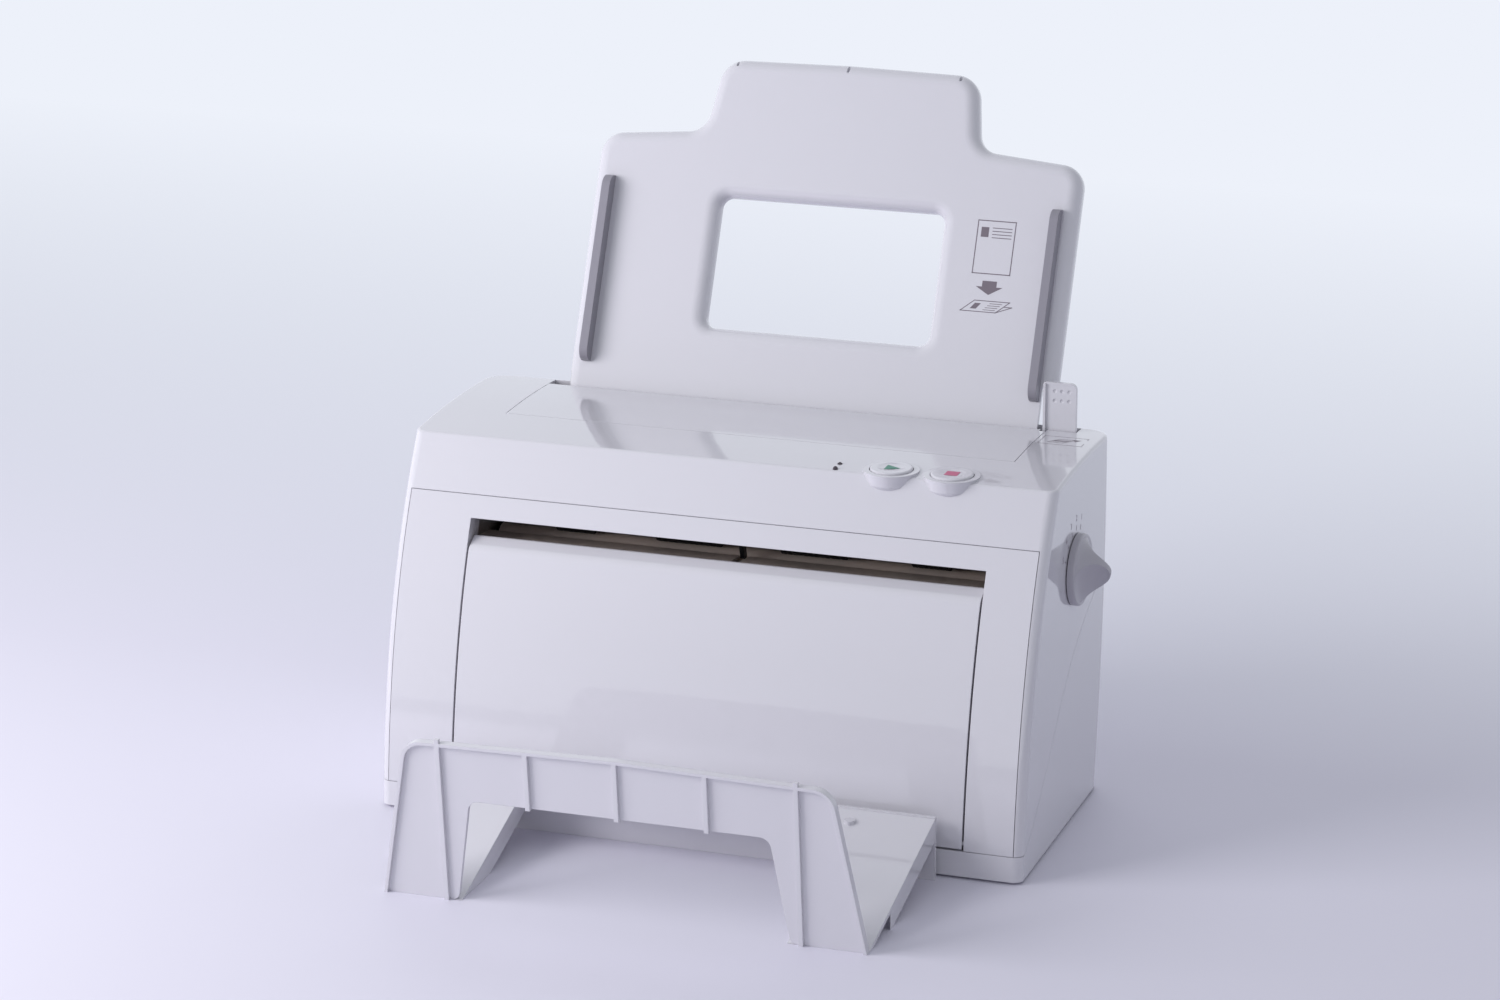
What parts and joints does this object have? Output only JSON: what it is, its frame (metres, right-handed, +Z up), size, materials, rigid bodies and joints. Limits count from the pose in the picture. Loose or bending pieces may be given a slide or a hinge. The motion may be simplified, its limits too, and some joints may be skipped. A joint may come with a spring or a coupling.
{
  "type": "paper folding machine",
  "caption": "Desk-top paper folder: leaning feed tray with window, fold rollers behind a curved front with a door, side selector knob and a pull-away catch tray.",
  "frame": {"origin": "on the desk, under the middle of the body's base", "axes": "+X to the machine's right as seen from the front, +Y to the back, +Z up"},
  "size_m": [0.3162, 0.3124, 0.3077],
  "materials": {
    "white_plastic": "glossy white",
    "button_plastic": "glossy white",
    "grey_plastic": "satin grey",
    "black_plastic": "matte black",
    "gear_plastic": "natural acetal",
    "circuit_board": "green solder mask",
    "lamp_lens": "clear",
    "rubber": "matte",
    "steel": "bright steel",
    "zinc_steel": "zinc plated",
    "roller_metal": "warm satin metal"
  },
  "bodies": {
    "root": {"base_casing": "white_plastic", "hood": "white_plastic", "front_panel": "white_plastic", "button_board": "circuit_board", "switch_bodies": "black_plastic", "lamp_lenses": "lamp_lens", "left_side_frame": "zinc_steel", "right_side_frame": "zinc_steel", "roller_bushes": "black_plastic", "tie_bars": "steel", "gear_studs": "steel", "motor_housing": "zinc_steel", "fold_plate_outer": "zinc_steel", "fold_plate_inner": "zinc_steel", "upper_fold_plate_outer": "zinc_steel", "upper_fold_plate_inner": "zinc_steel", "feed_chute_upper": "zinc_steel", "feed_chute_lower": "zinc_steel", "exit_guide": "roller_metal", "control_board": "circuit_board", "power_inlet": "black_plastic", "rubber_feet": "rubber", "casing_screws": "steel"},
    "door": {"front_door": "white_plastic"},
    "lid": {"top_lid": "white_plastic"},
    "start": {"start_button": "button_plastic"},
    "stop": {"stop_button": "button_plastic"},
    "selector": {"selector_knob": "grey_plastic", "selector_shaft": "steel"},
    "fold_stop": {"fold_stop": "black_plastic"},
    "lever": {"feed_release_lever": "white_plastic"},
    "lift": {"paper_lift_plate": "grey_plastic", "separator_pad": "rubber"},
    "pickup": {"pickup_shaft": "steel", "pickup_tyres": "rubber", "pickup_gear": "gear_plastic"},
    "idler": {"idler_gear": "gear_plastic"},
    "main": {"main_fold_roller": "roller_metal", "main_roller_gear": "gear_plastic"},
    "entry": {"entry_fold_roller": "roller_metal", "entry_roller_gear": "gear_plastic"},
    "lower_exit": {"lower_exit_roller": "roller_metal", "lower_exit_gear": "gear_plastic"},
    "upper_exit": {"upper_exit_shaft": "roller_metal", "exit_tyres": "rubber", "upper_exit_gear": "gear_plastic"},
    "reduction": {"reduction_gear": "gear_plastic"},
    "motor": {"motor_shaft": "steel"},
    "exit_flag": {"exit_sensor_flag": "black_plastic"},
    "feed_tray": {"feed_tray": "white_plastic", "paper_guides": "grey_plastic"},
    "catch_tray": {"catch_tray": "white_plastic"}
  },
  "joints": [
    {"name": "door_hinge", "type": "hinge", "parent": "root", "child": "door", "pos_m": [0, -0.0684, 0.0154], "axis": [1, 0, 0], "range_deg": [0, 15]},
    {"name": "lid_hinge", "type": "hinge", "parent": "root", "child": "lid", "pos_m": [0, 0.0576, 0.1618], "axis": [-1, 0, 0], "range_deg": [0, 90]},
    {"name": "start_press", "type": "slide", "parent": "root", "child": "start", "axis": [0, 0, -1], "range_m": [0, 0.0012], "stiffness_N_per_m": 250, "springref_m": -0.001},
    {"name": "stop_press", "type": "slide", "parent": "root", "child": "stop", "axis": [0, 0, -1], "range_m": [0, 0.0012], "stiffness_N_per_m": 250, "springref_m": -0.001},
    {"name": "selector_turn", "type": "hinge", "parent": "root", "child": "selector", "pos_m": [0, 0.01, 0.1185], "axis": [1, 0, 0], "range_deg": [-59, 29]},
    {"name": "fold_stop_slide", "type": "slide", "parent": "root", "child": "fold_stop", "axis": [0, -0.1736, -0.9848], "range_m": [-0.0103, 0.00506]},
    {"name": "lift_plate_swing", "type": "hinge", "parent": "root", "child": "lift", "pos_m": [0, 0.0656, 0.15043], "axis": [1, 0, 0], "range_deg": [0, 6], "stiffness_Nm_per_rad": 0.05, "springref_deg": -8.59},
    {"name": "release_lever_swing", "type": "hinge", "parent": "root", "child": "lever", "pos_m": [0, 0.0634, 0.143], "axis": [-1, 0, 0], "range_deg": [0, 12]},
    {"name": "main_roller_spin", "type": "hinge", "parent": "root", "child": "main", "pos_m": [0, 0.01554, 0.10395], "axis": [1, 0, 0], "continuous": true},
    {"name": "entry_roller_spin", "type": "hinge", "parent": "root", "child": "entry", "pos_m": [0, 0.02169, 0.08704], "axis": [1, 0, 0], "continuous": true},
    {"name": "lower_exit_spin", "type": "hinge", "parent": "root", "child": "lower_exit", "pos_m": [0, -0.002, 0.108], "axis": [1, 0, 0], "continuous": true},
    {"name": "upper_exit_spin", "type": "hinge", "parent": "root", "child": "upper_exit", "pos_m": [0, -0.00451, 0.12582], "axis": [1, 0, 0], "continuous": true},
    {"name": "idler_spin", "type": "hinge", "parent": "root", "child": "idler", "pos_m": [0, 0.02295, 0.12572], "axis": [1, 0, 0], "continuous": true},
    {"name": "pickup_spin", "type": "hinge", "parent": "root", "child": "pickup", "pos_m": [0, 0.04324, 0.14199], "axis": [1, 0, 0], "continuous": true},
    {"name": "reduction_spin", "type": "hinge", "parent": "root", "child": "reduction", "pos_m": [0, 0.02969, 0.07318], "axis": [1, 0, 0], "continuous": true},
    {"name": "motor_spin", "type": "hinge", "parent": "root", "child": "motor", "pos_m": [0, 0.02433, 0.0456], "axis": [1, 0, 0], "continuous": true},
    {"name": "exit_flag_swing", "type": "hinge", "parent": "root", "child": "exit_flag", "pos_m": [0, -0.02, 0.142], "axis": [-1, 0, 0], "range_deg": [0, 20], "stiffness_Nm_per_rad": 0.002, "springref_deg": -5.73},
    {"name": "feed_tray_lift", "type": "slide", "parent": "root", "child": "feed_tray", "axis": [0, 0.4171, 0.9089], "range_m": [0, 0.06]},
    {"name": "catch_tray_pull", "type": "slide", "parent": "root", "child": "catch_tray", "axis": [0, -1, 0], "range_m": [0, 0.12]}
  ],
  "couplings": [
    {"joint": "entry_roller_spin", "follows": "main_roller_spin", "ratio": -1},
    {"joint": "lower_exit_spin", "follows": "main_roller_spin", "ratio": -1},
    {"joint": "upper_exit_spin", "follows": "main_roller_spin", "ratio": 1},
    {"joint": "idler_spin", "follows": "main_roller_spin", "ratio": -0.64286},
    {"joint": "pickup_spin", "follows": "main_roller_spin", "ratio": 0.75},
    {"joint": "reduction_spin", "follows": "main_roller_spin", "ratio": 1.2857},
    {"joint": "motor_spin", "follows": "main_roller_spin", "ratio": -4.7143},
    {"joint": "fold_stop_slide", "follows": "selector_turn", "m_per_rad": 0.01},
    {"joint": "release_lever_swing", "follows": "lift_plate_swing", "ratio": 2}
  ]
}
